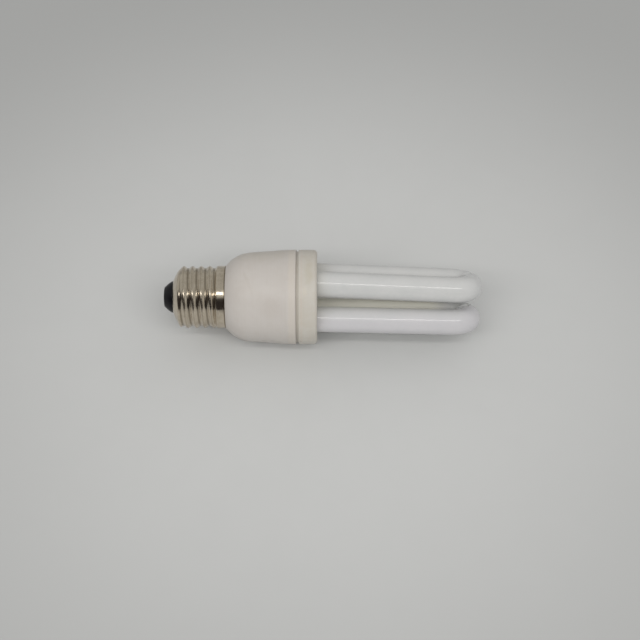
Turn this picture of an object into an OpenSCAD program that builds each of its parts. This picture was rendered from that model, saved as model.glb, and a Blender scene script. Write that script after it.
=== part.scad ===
// Compact fluorescent lamp with a screw cap and two U-shaped tubes, lying on its side
// The lamp is drawn upright from the tip of its cap, then laid along +X on the surface z = 0

/* [Screw cap] */
// Diameter over the thread crests
thread_d = 26.1; // [25:0.1:27.2]
// Depth of the thread from crest to root
thread_depth = 0.9; // [0.5:0.05:1.1]
// Distance from one thread crest to the next
thread_pitch = 3.63; // [3:0.01:4.2]
// Number of thread crests
thread_crests = 4; // [3:1:5]
// Thickness of the cap's sheet metal
shell_t = 0.3; // [0.2:0.05:0.4]
// Diameter of the plain rim above the thread
rim_d = 26.3; // [26:0.1:27.4]
// Length of the plain rim
rim_len = 3.6; // [2.5:0.1:6]
// Length of the rounded foot below the thread
foot_len = 3.5; // [2.5:0.1:5]
// Diameter of the lip that holds the insulator
lip_d = 14.1; // [12:0.1:16]

/* [Insulator and contact] */
// Length of insulator that stands out of the lip
insulator_len = 3.8; // [3:0.1:5]
// Diameter of the insulator's flat end
insulator_end_d = 8.8; // [7.6:0.1:10]
// Length of insulator inside the shell
insulator_root_len = 3.6; // [2.5:0.1:5]
// Diameter of the centre contact
contact_d = 6.6; // [5:0.1:7]
// Thickness of the centre contact
contact_t = 0.5; // [0.3:0.05:0.8]
// Diameter of the hole for the live lead
contact_bore_d = 1.6; // [1.2:0.1:2.4]

/* [Housing] */
// Largest diameter of the housing and of the cover that lies flush with it
housing_d = 39.7; // [38.5:0.1:44]
// Length of the housing above the cap
housing_len = 29.5; // [28.5:0.1:36]
// Wall of the housing
housing_wall = 1.7; // [1.2:0.1:2]
// Length of the round shoulder
shoulder_len = 10; // [7:0.1:12]
// How far the housing narrows from its band to the shoulder, on the radius
housing_taper = 1.15; // [0.6:0.05:1.6]
// Length of the straight band below the seam
band_len = 4; // [3:0.1:6]
// Length of the neck inside the cap
neck_len = 12; // [8:0.1:14]
// Wall of the neck
neck_wall = 1.5; // [1:0.1:1.8]
// Width of each rib that carries the circuit board
rib_w = 1.6; // [1:0.1:2.5]
// Number of ribs
rib_count = 4; // [3:1:6]

/* [Tube cover] */
// Height of the cover above the seam
cover_len = 7.8; // [6.5:0.1:10]
// Thickness of the cover's plate and wall
cover_wall = 1.6; // [1.2:0.1:2]
// Radius of the cover's outer edge
cover_edge_r = 1.5; // [0.8:0.1:2]
// Width of the groove at the seam
seam_w = 0.9; // [0.5:0.1:1.2]
// Depth of the groove at the seam
seam_depth = 0.65; // [0.4:0.05:0.9]
// Length of the skirt inside the housing
skirt_len = 4.6; // [4:0.1:5]
// Wall of the skirt
skirt_wall = 1.2; // [0.9:0.1:1.5]
// Wall of the sockets round the tube legs
socket_wall = 1; // [0.8:0.1:1.2]
// Depth of the sockets below the plate
socket_len = 2.6; // [1.5:0.1:3.2]

/* [Discharge tube] */
// Diameter of the glass tube
tube_d = 10.8; // [9.5:0.1:11.2]
// Thickness of the glass
glass_t = 0.8; // [0.7:0.05:1.1]
// Distance between the centres of neighbouring legs
leg_pitch = 15; // [14.2:0.1:15.6]
// Length of tube above the cover
tube_len = 69; // [50:0.5:110]
// Width of the slot that runs up into each bend
slot_w = 3.4; // [2.4:0.1:4]
// Thickness of the bend beyond the slot
bend_t = 4.6; // [3.8:0.1:8]
// Diameter of the bridge that joins the two U-tubes
bridge_d = 4.6; // [4:0.1:4.8]
// Lean of the first U-tube in degrees
lean_one = 1.35; // [0:0.05:1.6]
// Lean of the second U-tube in degrees
lean_two = 2.45; // [0:0.05:2.6]
// Width of the flat seal at a leg's end
pinch_w = 7; // [5:0.1:8]
// Thickness of the flat seal
pinch_t = 2.4; // [1.8:0.1:3]
// Length of the flat seal
pinch_len = 3; // [2:0.1:3.5]
// Height of each cement ring
cement_h = 1.2; // [0.6:0.1:1.4]

/* [Ballast] */
// Room between the circuit board and the housing's bore
board_gap = 1.05; // [0.9:0.05:1.6]
// Thickness of the circuit board
board_t = 1.6; // [1:0.1:2]
// Diameter of the filter capacitor
filter_d = 10; // [8:0.1:11]
// Length of the filter capacitor
filter_len = 16; // [12:0.1:18]
// Width of the choke's core
core_w = 13; // [12:0.1:13.6]
// Height of the choke's core
core_h = 12.6; // [11:0.1:13]
// Thickness of the choke's core
core_t = 6; // [5:0.1:6.4]
// Outer diameter of the feedback ring
ring_d = 8.6; // [7:0.1:9]
// Inner diameter of the feedback ring
ring_bore_d = 4.8; // [4.4:0.1:5.2]
// Height of the feedback ring
ring_h = 3.2; // [2.4:0.1:4]
// Diameter of the component leads
lead_d = 0.6; // [0.5:0.05:0.8]
// Diameter of the supply and lamp wires
wire_d = 0.6; // [0.4:0.05:0.6]

/* [Hidden] */
$fn = 96;

// Clearances and small fixed sizes
play = 0.05;          // between bonded round faces
slide_gap = 0.15;     // between the skirt and the housing
leg_gap = 0.35;       // round a leg in its socket
hole_gap = 0.1;       // round a lead in the board
foot_shape = 1.7;     // fullness of the cap's foot
dome_shape = 1.6;     // fullness of the insulator's dome
end_round = 0.35;     // round edge at the insulator's flat end
band_steps = 10;      // straight bands to one thread pitch
arc_steps = 12;       // straight pieces to one rounded edge
bead_h = 0.35;        // height of the snap bead on the skirt
bead_w = 1.2;         // width of the snap bead
solder_h = 0.9;       // height of a solder joint
lead_out = 1.1;       // length of lead beyond the board
roll = 55.6;          // turn of the lamp about its axis as it lies
sink = 0.4;           // how far joined shapes run into each other
root_gap = 2.55;      // between the insulator's root and the shell's thread

// Heights from the cap's tip, along the lamp's axis
tip_rise = 0.35;                                   // solder above the contact
contact_z = tip_rise;
end_z = contact_z + 0.1;                           // flat end of the insulator
lip_z = end_z + insulator_len;
thread_z = lip_z + foot_len;
rim_z = thread_z + thread_crests * thread_pitch + 0.6;
shoulder_z = rim_z + rim_len;
seam_z = shoulder_z + housing_len;
cover_z = seam_z + seam_w;                         // lower edge of the cover's wall
plate_z = cover_z + cover_len;                     // outer face of the cover
plate_in_z = plate_z - cover_wall;
socket_z = plate_in_z - socket_len;
tip_z = plate_z + tube_len;                        // far end of the glass
rest_r = housing_d / 2;                            // radius that the lamp lies on

// Radii of the cap
crest_r = thread_d / 2;
root_r = crest_r - thread_depth;
rim_r = rim_d / 2;
lip_r = lip_d / 2;
neck_r = root_r - shell_t - slide_gap;
neck_bore_r = neck_r - neck_wall;
neck_z = shoulder_z - neck_len;

// Radii of the housing
housing_r = housing_d / 2;
shoulder_r = housing_r - housing_taper;
shoulder_end_z = shoulder_z + shoulder_len;
band_z = seam_z - band_len;
bore_r = housing_r - housing_wall;                 // bore that takes the skirt
skirt_r = bore_r - slide_gap;
skirt_z = seam_z - skirt_len;

// Circuit board and the ribs under it
board_top_z = skirt_z - 1.6;                       // side with the solder
board_z = board_top_z - board_t;                   // side with the components
board_r = bore_r - board_gap;
heavy_turn = 5;                                    // balances the lean of the tubes
board_turn = heavy_turn - roll;                    // heavy side down as the lamp lies
rib_in_r = board_r - 1.2;
rib_h = 9;

// Discharge tube
tube_r = tube_d / 2;
half_pitch = leg_pitch / 2;
leg_top_z = tip_z - tube_r - half_pitch;           // where the bends begin
leg_z = board_top_z + 4.2;                         // closed end of each leg
bridge_z = leg_z + bridge_d / 2 + 0.5;
pivot_z = (plate_z + socket_z) / 2;                // the U-tubes lean about this height
pinch_z = leg_z + 1.2 - pinch_len;                 // end face of a flat seal
leg_ends = [[-1, -1], [-1, 1]];                    // legs with flat seals
leads_y = 1.8;                                     // half the distance between lamp wires
pin_inset = 2.2;                                   // wrap pins from the board's edge
pin_x = board_r - pin_inset;
pin_d = 0.9;
pin_out = 1.8;                                     // wrap pins beyond the lamp wires
run_z = pinch_z - 0.7;                             // height of the lamp wires' run

// Leads in the board: [x, y] in the board's own turn, with +X the heavy side
wire_r = wire_d / 2;
lead_r = lead_d / 2;
filter_z = neck_z - 2;                             // lower end of the filter capacitor
filter_leads = [[-1.8, 0], [1.8, 0]];
core_inset = 7.9;                                  // middle of the choke from the board's edge
core_x = board_r - core_inset;
bobbin_t = 0.6;
bobbin_foot = 1.2;
limb_w = core_w * 0.22;                            // middle limb of the core
side_w = core_w * 0.13;                            // outer limbs of the core
yoke_h = core_w * 0.16;                            // top and bottom of the core
core_window = core_w / 2 - side_w - limb_w / 2;    // width of the window beside the middle limb
core_top_z = board_z - bobbin_foot;                // core's face next to the board
core_low_z = core_top_z - core_h;
flange_x = core_t + 2 * core_window - 0.5;         // flanges of the bobbin
flange_y = limb_w + 2 * core_window - 0.5;
choke_pins = [for (sx = [-1, 1], sy = [-1, 1]) [sx * (flange_x / 2 - 0.93), sy * (core_w / 2 - 1.5)]];
ring_at = [-5.2, 8.8];
ring_leads = [[-3, -3.9], [3, -3.9], [-3, 3.9], [3, 3.9]];
transistor_d = 4.6;
transistor_h = 4.6;
transistor_lift = 2.2;
transistor_at = [[2.4, 10.5], [2.4, -9]];
diode_d = 2.7;
diode_len = 5;
diode_inset = 6.1;                                 // rectifier diodes from the board's edge
diode_pitch = 2.8;
diode_y = 2.6;
rectifier_at = [for (i = [0 : 3]) [diode_inset - board_r, diode_y - diode_pitch * i]];
clamp_inset = 3.1;                                 // clamp diodes from the board's edge
clamp_turn = 45;
clamp_at = [for (s = [1, -1]) (board_r - clamp_inset) * [cos(clamp_turn), s * sin(clamp_turn)]];
diac_at = [-5.2, -2.4];
diac_d = 1.9;
diac_len = 3.9;
resonant_size = [8, 3.6, 8];
resonant_inset = 5.9;                              // resonant capacitor from the board's edge
resonant_at = [-4.6, resonant_inset - board_r];
resonant_span = 5;
coupling_at = [-5.2, -6.6];
coupling_size = [6.6, 3, 6];
coupling_span = 4.4;
start_size = [4.6, 2.4, 4.6];
start_inset = 3.5;                                 // start capacitor from the board's edge
start_at = [0.6, board_r - start_inset];
start_span = 2.6;
resistor_d = 1.8;
resistor_len = 4.4;
resistor_at = [[-5.2, 0.2], [-5.2, 2.6], [1, 3.2], [1, -3.2]];
fuse_at = [0.3, (filter_d / 2 + neck_bore_r) / 2]; // midway between capacitor and neck
fuse_d = 3;
fuse_len = 7;
fuse_z = neck_z - 1;
lead_rise = 0.9;                                   // live lead above the insulator
sleeve_t = 0.4;
sleeve_over = 0.6;                                 // sleeve beyond each end of the fuse
neutral_turn = -152.4;
neutral_in_r = neck_bore_r - wire_r - 0.25;        // run inside the neck
neutral_out_r = neck_r + slide_gap - wire_r - 0.03; // run between the neck and the shell
neutral_hole = neutral_in_r * [cos(neutral_turn), sin(neutral_turn)];
ball = 1.02;          // ball corners of a wire against its radius

// The lamp laid on its side along +X, with its middle at x = 0
module lie() {
    translate([-tip_z / 2, 0, rest_r]) rotate([roll, 0, 0]) rotate([0, 90, 0]) children();
}

// The turn of the circuit board and what stands on it
module on_board() {
    rotate([0, 0, board_turn]) children();
}

// A round profile turned about the lamp's axis
module turned(points) {
    rotate_extrude() polygon(points);
}

// A straight round bar between two points
module bar(from, to, r, sides = 24) {
    run = to - from;
    long = norm(run);
    flat = norm([run.x, run.y]);
    translate(from)
        rotate([0, atan2(flat, run.z), atan2(run.y, run.x)])
            cylinder(r = r, h = long, $fn = sides);
}

// A round wire through a row of points, with ball corners
module wire(points, r, sides = 24) {
    for (i = [0 : len(points) - 2]) bar(points[i], points[i + 1], r, sides);
    for (i = [1 : 1 : len(points) - 2]) translate(points[i]) sphere(r = r * ball, $fn = sides);
}

// A block with its upright edges rounded
module soft_block(size, edge) {
    linear_extrude(size.z)
        for (k = [0, 1])
            translate([k * edge - size.x / 2, (1 - k) * edge - size.y / 2])
                square([size.x - 2 * k * edge, size.y - 2 * (1 - k) * edge]);
    for (sx = [-1, 1], sy = [-1, 1])
        translate([sx * (size.x / 2 - edge), sy * (size.y / 2 - edge), 0])
            cylinder(r = edge, h = size.z, $fn = 24);
}

// Radius of the thread's outside at a height above its start
function thread_r(z) = crest_r - thread_depth * (1 + cos(360 * z / thread_pitch)) / 2;

// Outside of the screw shell from lip to rim
shell_outside = concat(
    [for (i = [0 : arc_steps])
        let (t = i / arc_steps)
        [lip_r + (root_r - lip_r) * (1 - pow(1 - t, foot_shape)), lip_z + foot_len * t]],
    [for (i = [1 : thread_crests * band_steps])
        let (z = i * thread_pitch / band_steps)
        [thread_r(z), thread_z + z]],
    [[rim_r, rim_z], [rim_r, shoulder_z]]
);

// Curve of the housing's shoulder, an arc that meets the drafted wall without a corner
draft = atan2(housing_r - shoulder_r, band_z - shoulder_end_z);
to_seat = [rim_r + 0.15 - shoulder_r, -shoulder_len];
arc_r = (to_seat.x * to_seat.x + to_seat.y * to_seat.y)
    / (2 * (-to_seat.x * cos(draft) + to_seat.y * sin(draft)));
arc_at = [shoulder_r - arc_r * cos(draft), shoulder_end_z + arc_r * sin(draft)];
arc_from = asin((shoulder_z - arc_at.y) / arc_r);
function shoulder_arc(r, from) =
    [for (i = [0 : arc_steps])
        let (a = from + (-draft - from) * i / arc_steps)
        arc_at + r * [cos(a), sin(a)]];

// Place of a point after the lean of a U-tube
function lean_of(side) = side < 0 ? lean_one : lean_two;
function leaned(p, side) =
    let (a = lean_of(side), h = p.z - pivot_z)
    [p.x, p.y * cos(a) - h * sin(a), pivot_z + p.y * sin(a) + h * cos(a)];
module lean(side) {
    translate([0, 0, pivot_z]) rotate([lean_of(side), 0, 0]) translate([0, 0, -pivot_z]) children();
}

// Turn of a leg's outward direction about the axis
function leg_turn(leg) = atan2(leg.y, leg.x);

// Black glass insulator with a seat for the contact
module insulator() {
    base_r = lip_r - shell_t - play;
    inner_r = root_r - shell_t - root_gap;
    seat_r = contact_d / 2 + play;
    floor_z = contact_z + contact_t;
    edge_r = insulator_end_d / 2;
    dome = [for (i = [0 : arc_steps])
        let (t = i / arc_steps)
        [edge_r + (base_r - edge_r) * (1 - pow(1 - t, dome_shape)),
         end_z + end_round + (insulator_len - end_round) * t]];
    color("#1b1b1d") lie() turned(concat(
        [[contact_bore_d / 2, floor_z], [seat_r, floor_z], [seat_r, end_z + 0.15],
         [seat_r + 0.15, end_z], [edge_r - 0.5, end_z], [edge_r - 0.15, end_z + 0.1]],
        dome,
        [[base_r, lip_z + 0.5], [inner_r, thread_z - foot_len * 0.35],
         [inner_r, lip_z + insulator_root_len],
         [contact_bore_d / 2 + 1, lip_z + insulator_root_len],
         [contact_bore_d / 2, lip_z + insulator_root_len - 0.6]]
    ));
}

// Contact disc with a hole for the live lead
module centre_contact() {
    color("#c9b27c") lie() turned([
        [wire_r + play, contact_z], [contact_d / 2 - 0.2, contact_z],
        [contact_d / 2, contact_z + 0.2], [contact_d / 2, contact_z + contact_t],
        [wire_r + play, contact_z + contact_t]
    ]);
}

// Drop of solder over the hole in the contact
module contact_solder() {
    spread = 1.5;
    ball_r = (spread * spread + tip_rise * tip_rise) / (2 * tip_rise);
    color("#b9bcc0") lie() intersection() {
        translate([0, 0, ball_r]) sphere(r = ball_r);
        cylinder(r = spread, h = contact_z);
    }
}

// Screw shell of thin sheet, its rolled thread drawn as level ridges
module screw_shell() {
    inside = [for (i = [len(shell_outside) - 1 : -1 : 0]) shell_outside[i] - [shell_t, 0]];
    color("#b8b2a4") lie() turned(concat(shell_outside, inside));
}

// Housing with its neck, round shoulder and ribs for the board
module housing() {
    throat_z = shoulder_z + housing_wall;
    inner_r = arc_r - housing_wall;
    inner_from = asin((throat_z - arc_at.y) / inner_r);
    inner_arc = shoulder_arc(inner_r, inner_from);
    middle_r = arc_r - housing_wall / 2;
    middle_arc = shoulder_arc(middle_r, asin((throat_z - arc_at.y) / middle_r));
    groove_z = skirt_z + skirt_len * 0.4;
    color("#e9e5da") lie() difference() {
        union() {
            turned(concat(
                [[neck_r, neck_z + 0.5], [neck_r, shoulder_z]],
                shoulder_arc(arc_r, arc_from),
                [[housing_r, band_z], [housing_r, seam_z - 0.2], [housing_r - 0.2, seam_z],
                 [bore_r + 0.2, seam_z], [bore_r, seam_z - 0.2],
                 [bore_r, groove_z + bead_w], [bore_r + bead_h, groove_z + bead_w * 0.6],
                 [bore_r + bead_h, groove_z - bead_w * 0.6], [bore_r, groove_z - bead_w],
                 [bore_r, skirt_z - 0.3]],
                [for (i = [len(inner_arc) - 1 : -1 : 0]) inner_arc[i]],
                [[neck_bore_r, throat_z], [neck_bore_r, neck_z], [neck_r - 0.5, neck_z]]
            ));
            intersection() {
                for (i = [0 : rib_count - 1])
                    rotate([0, 0, board_turn + 45 + i * 360 / rib_count])
                        translate([rib_in_r, -rib_w / 2, board_z - rib_h])
                            cube([housing_r - rib_in_r, rib_w, rib_h]);
                turned(concat([[0, throat_z]], middle_arc,
                    [[housing_r - housing_wall / 2, band_z], [housing_r - housing_wall / 2, seam_z],
                     [0, seam_z]]));
            }
        }
        on_board() rotate([0, 0, neutral_turn]) translate([neutral_out_r, 0, neck_z - 1])
            cylinder(r = wire_r + play, h = neck_len / 2 + 1, $fn = 24);
    }
}

// Cover with four sockets for the legs of the tubes
module tube_cover() {
    step_r = housing_r - seam_depth;
    edge_c = [housing_r - cover_edge_r, plate_z - cover_edge_r];
    edge = [for (i = [0 : arc_steps]) edge_c + cover_edge_r * [cos(i * 90 / arc_steps), sin(i * 90 / arc_steps)]];
    bead_z = skirt_z + skirt_len * 0.4;
    color("#e8e4d8") lie() difference() {
        union() {
            turned(concat(
                [[0, plate_in_z], [housing_r - cover_wall - 0.6, plate_in_z],
                 [housing_r - cover_wall, plate_in_z - 0.6], [housing_r - cover_wall, cover_z + 0.4],
                 [skirt_r - skirt_wall, seam_z], [skirt_r - skirt_wall, skirt_z],
                 [skirt_r - 0.3, skirt_z], [skirt_r, skirt_z + 0.3],
                 [skirt_r, bead_z - bead_w * 0.7], [skirt_r + bead_h, bead_z - bead_w * 0.3],
                 [skirt_r + bead_h, bead_z + bead_w * 0.3], [skirt_r, bead_z + bead_w * 0.7],
                 [skirt_r, seam_z], [step_r, seam_z], [step_r, cover_z],
                 [housing_r - 0.2, cover_z], [housing_r, cover_z + 0.2]],
                edge,
                [[0, plate_z]]
            ));
            for (sx = [-1, 1], sy = [-1, 1])
                lean(sy) translate([sx * half_pitch, sy * half_pitch, socket_z])
                    cylinder(r = tube_r + leg_gap + socket_wall, h = socket_len + sink);
            for (i = [0 : rib_count - 1])
                rotate([0, 0, board_turn + 45 + i * 360 / rib_count])
                    translate([skirt_r - skirt_wall - 0.4, -rib_w / 2, board_top_z])
                        cube([skirt_wall + 0.2, rib_w, skirt_z - board_top_z + sink]);
        }
        for (sx = [-1, 1], sy = [-1, 1])
            lean(sy) translate([sx * half_pitch, sy * half_pitch, socket_z - 1])
                cylinder(r = tube_r + leg_gap, h = plate_z - socket_z + 3);
    }
}

// One straight leg with a round closed end, by its outer radius
module leg(r) {
    turned(concat(
        [for (i = [0 : arc_steps])
            let (a = 90 * i / arc_steps)
            [r * sin(a), leg_z + tube_r - r * cos(a)]],
        [[r, leg_top_z], [0, leg_top_z]]
    ));
}

// Slot between two legs, carried on into their bend, by half its width
module bend_slot(r) {
    end_z = tip_z - bend_t - slot_w / 2;
    deep = tube_r + 1;
    translate([0, deep, end_z]) rotate([90, 0, 0]) cylinder(r = r, h = 2 * deep, $fn = 48);
    translate([-r, -deep, leg_top_z - 1]) cube([2 * r, 2 * deep, end_z - leg_top_z + 1]);
}

// Run of both U-tubes and the bridge between them, inset from the outside of the glass
module tube_run(inset = 0) {
    r = tube_r - inset;
    for (sy = [-1, 1]) lean(sy) translate([0, sy * half_pitch, 0]) {
        for (sx = [-1, 1]) translate([sx * half_pitch, 0, 0]) leg(r);
        difference() {
            translate([0, 0, leg_top_z]) rotate([90, 0, 0])
                rotate_extrude(angle = 180) translate([half_pitch, 0]) circle(r = r);
            bend_slot(slot_w / 2 + inset);
        }
    }
    bar([half_pitch, -half_pitch, bridge_z], [half_pitch, half_pitch, bridge_z],
        bridge_d / 2 - inset, 48);
}

// Flat seal at the end of a leg, with a hole for each lamp wire
module pinch() {
    difference() {
        union() {
            translate([-pinch_t / 2, -pinch_w / 2 + pinch_t / 2, 0])
                cube([pinch_t, pinch_w - pinch_t, pinch_len + 1]);
            for (s = [-1, 1]) translate([0, s * (pinch_w - pinch_t) / 2, 0])
                cylinder(r = pinch_t / 2, h = pinch_len + 1, $fn = 32);
        }
        for (s = [-1, 1]) translate([0, s * leads_y, -1])
            cylinder(r = wire_r + play, h = 2.5, $fn = 24);
    }
}

// Two U-shaped glass tubes joined by a bridge, hollow and sealed
module discharge_tube() {
    color("#f4f5f3") lie() union() {
        difference() {
            tube_run();
            tube_run(glass_t);
        }
        for (leg = leg_ends)
            lean(leg.y) translate([leg.x * half_pitch, leg.y * half_pitch, pinch_z])
                rotate([0, 0, leg_turn(leg)]) pinch();
    }
}

// Rings of cement that hold the legs under their sockets
module cement_rings() {
    color("#d9d6cc") lie()
        for (sx = [-1, 1], sy = [-1, 1])
            lean(sy) translate([sx * half_pitch, sy * half_pitch, socket_z - cement_h])
                difference() {
                    cylinder(r = tube_r + leg_gap + socket_wall, h = cement_h);
                    translate([0, 0, -1]) cylinder(r = tube_r + play, h = cement_h + 2);
                }
}

// Three turns of wire round a pin, drawn as one ridged ring
module wraps(bore) {
    steps = 6;
    rotate_extrude($fn = 32) polygon(concat(
        [[bore, -1.5 * wire_d], [bore + wire_r, -1.5 * wire_d]],
        [for (k = [-1, 0, 1], i = [1 : steps - 1])
            let (a = 180 * i / steps - 90)
            [bore + wire_r * (1 + cos(a)), k * wire_d + wire_r * sin(a)]],
        [[bore + wire_r, 1.5 * wire_d], [bore, 1.5 * wire_d]]
    ));
}

// Four lamp wires from the flat seals to the wrap pins
module tube_leads() {
    wrap_in = pin_d / 2 + play + wire_r;
    color("#a89878") lie()
        for (leg = leg_ends, s = [-1, 1]) {
            turn = leg_turn(leg);
            out = [cos(turn), sin(turn)];
            side = [-sin(turn), cos(turn)] * s * leads_y;
            base = half_pitch * leg + side;
            pin = pin_x * out + side;
            wire([
                leaned([base.x, base.y, pinch_z + 1.2], leg.y),
                leaned([base.x, base.y, run_z], leg.y),
                [pin.x - wrap_in * out.x, pin.y - wrap_in * out.y, run_z]
            ], wire_r);
            translate([pin.x, pin.y, run_z]) wraps(pin_d / 2 + play);
        }
}

// Four pins at the edge of the board that the lamp wires are wrapped on
module wrap_pins() {
    color("#c8c8c4") lie()
        for (leg = leg_ends, s = [-1, 1])
            rotate([0, 0, leg_turn(leg)]) translate([pin_x, s * leads_y, board_z - lead_out])
                cylinder(d = pin_d, h = run_z + pin_out - board_z + lead_out, $fn = 24);
}

// Places of all leads that pass through the board, in the board's turn
function moved(points, at) = [for (p = points) p + at];
function pair_of(at, span, turn = 0) = [for (s = [-1, 1]) at + s * span / 2 * [cos(turn), sin(turn)]];
axial_span = 7.4;
upright_span = 2.6;
board_leads = concat(
    filter_leads,
    moved(choke_pins, [core_x, 0]),
    moved(ring_leads, ring_at),
    [for (at = transistor_at, k = [-1, 0, 1]) at + [k * 1.3, 0]],
    [for (at = rectifier_at) each pair_of(at, upright_span)],
    [for (at = clamp_at) each pair_of(at, axial_span, -sign(at.y) * clamp_turn)],
    pair_of(diac_at, upright_span),
    pair_of(resonant_at, resonant_span),
    pair_of(coupling_at, coupling_span),
    pair_of(start_at, start_span),
    [for (at = resistor_at) each pair_of(at, upright_span)],
    [fuse_at, neutral_hole]
);

// Round circuit board with a hole for every lead and pin
module circuit_board() {
    color("#b98d4f") lie() difference() {
        translate([0, 0, board_z]) cylinder(r = board_r, h = board_t);
        on_board() for (p = board_leads)
            translate([p.x, p.y, board_z - 1])
                cylinder(r = lead_r + hole_gap, h = board_t + 2, $fn = 24);
        for (leg = leg_ends, s = [-1, 1])
            rotate([0, 0, leg_turn(leg)]) translate([pin_x, s * leads_y, board_z - 1])
                cylinder(r = pin_d / 2 + play, h = board_t + 2, $fn = 24);
    }
}

// Solder cone round each lead on the far side of the board
module solder_joints() {
    color("#c4c7ca") lie() on_board() for (p = board_leads)
        translate([p.x, p.y, board_top_z]) rotate_extrude($fn = 24)
            polygon([[lead_r + play, 0], [lead_r + 0.55, 0], [lead_r + 0.12, solder_h],
                     [lead_r + play, solder_h]]);
}

// Filter capacitor in the neck, on two long leads
module filter_capacitor() {
    r = filter_d / 2;
    top = filter_z + filter_len;
    color("#20242e") lie() on_board() {
        turned([
            [0, filter_z], [r - 0.6, filter_z], [r, filter_z + 0.6], [r, top - 2.6],
            [r - 0.5, top - 2], [r, top - 1.4], [r, top - 0.4], [r - 0.4, top], [0, top]
        ]);
        for (p = filter_leads) bar([p.x, p.y, top - 0.5], [p.x, p.y, board_top_z + lead_out], lead_r);
    }
}

// Half of the choke's core, drawn from its yoke
module core_half() {
    window_y = (limb_w + core_window) / 2;
    difference() {
        translate([-core_t / 2, -core_w / 2, 0]) cube([core_t, core_w, core_h / 2]);
        for (s = [-1, 1])
            translate([-core_t, s * window_y - core_window / 2, yoke_h])
                cube([2 * core_t, core_window, core_h / 2]);
    }
}

// Two halves of the choke's core
module choke_core() {
    color("#3b3a3c") lie() on_board() translate([core_x, 0, core_low_z]) {
        core_half();
        translate([0, 0, core_h]) mirror([0, 0, 1]) core_half();
    }
}

// Bobbin round the middle limb, with four pins to the board
module choke_bobbin() {
    bore_x = core_t + 2 * play;
    bore_y = limb_w + 2 * play;
    low = core_low_z + yoke_h + play;
    high = core_top_z - yoke_h - play;
    color("#d8d4c4") lie() on_board() translate([core_x, 0, 0]) {
        difference() {
            union() {
                for (z = [low, high - bobbin_t])
                    translate([0, 0, z]) soft_block([flange_x, flange_y, bobbin_t], 0.5);
                translate([0, 0, low]) soft_block([bore_x + 2 * bobbin_t, bore_y + 2 * bobbin_t, high - low], 0.4);
            }
            translate([-bore_x / 2, -bore_y / 2, low - 1]) cube([bore_x, bore_y, high - low + 2]);
        }
        for (sx = [-1, 1]) {
            translate([sx * (flange_x / 2 - 0.6) - 0.6, -core_w / 2 + 0.4, board_z - bobbin_foot])
                cube([1.2, core_w - 0.8, bobbin_foot]);
            translate([sx * (flange_x / 2 - 0.6) - 0.6, -flange_y / 2 + 0.6, high - bobbin_t])
                cube([1.2, flange_y - 1.2, board_z - bobbin_foot - high + bobbin_t]);
        }
        for (p = choke_pins)
            bar([p.x, p.y, board_z - 0.8], [p.x, p.y, board_top_z + lead_out], lead_r);
    }
}

// Wound copper on the bobbin, its layers drawn as ridges
module choke_winding() {
    low = core_low_z + yoke_h + bobbin_t + 2 * play;
    high = core_top_z - yoke_h - bobbin_t - 2 * play;
    bore = [core_t + 2 * bobbin_t + 4 * play, limb_w + 2 * bobbin_t + 4 * play];
    layers = 9;
    turn_h = (high - low) / layers;
    build = core_window - bobbin_t - 0.7;          // thickness of the wound copper
    color("#9c4a1e") lie() on_board() translate([core_x, 0, low]) difference() {
        union() {
            soft_block([bore.x + 2 * build - 0.3, bore.y + 2 * build - 0.3, high - low], 1.8);
            for (i = [0 : layers - 1])
                translate([0, 0, (i + 0.15) * turn_h])
                    soft_block([bore.x + 2 * build, bore.y + 2 * build, turn_h * 0.7], 1.9);
        }
        translate([-bore.x / 2, -bore.y / 2, -1]) cube([bore.x, bore.y, high - low + 2]);
    }
}

// Ferrite ring that feeds both transistors
module feedback_ring() {
    low = board_z - 0.6 - ring_h;
    color("#4a484a") lie() on_board() translate([ring_at.x, ring_at.y, 0]) turned([
        [ring_bore_d / 2, low + 0.3], [ring_bore_d / 2 + 0.3, low], [ring_d / 2 - 0.3, low],
        [ring_d / 2, low + 0.3], [ring_d / 2, low + ring_h - 0.3],
        [ring_d / 2 - 0.3, low + ring_h], [ring_bore_d / 2 + 0.3, low + ring_h],
        [ring_bore_d / 2, low + ring_h - 0.3]
    ]);
}

// Turns of wire round the ring, and the leads that carry it
module feedback_windings() {
    r = 0.25;
    in_r = ring_bore_d / 2 - r - play;
    out_r = ring_d / 2 + r + play;
    high = board_z - 0.6 + r + play;
    low = board_z - 0.6 - ring_h - r - play;
    color("#b5532a") lie() on_board() translate([ring_at.x, ring_at.y, 0]) {
        for (a = [-60, -35, 35, 60, 90, 145, 170, 195])
            rotate([0, 0, a]) {
                wire([[out_r, 0, low], [out_r, 0, high], [in_r, 0, high], [in_r, 0, low],
                      [out_r, 0, low], [out_r, 0, high]], r, 16);
            }
        for (p = ring_leads)
            bar([p.x, p.y, board_z - 0.7], [p.x, p.y, board_top_z + lead_out], lead_r);
    }
}

// A transistor with a flat front and three leads
module transistor() {
    top = board_z - transistor_lift;
    difference() {
        translate([0, 0, top - transistor_h]) cylinder(d = transistor_d, h = transistor_h, $fn = 48);
        translate([-transistor_d, transistor_d * 0.27, top - transistor_h - 1])
            cube([2 * transistor_d, transistor_d, transistor_h + 2]);
    }
    for (k = [-1, 0, 1])
        bar([k * 1.3, 0, top - 0.5], [k * 1.3, 0, board_top_z + lead_out], lead_r - 0.05);
}

// Both switching transistors
module transistors() {
    color("#222226") lie() on_board()
        for (at = transistor_at) translate([at.x, at.y, 0]) transistor();
}

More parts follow.
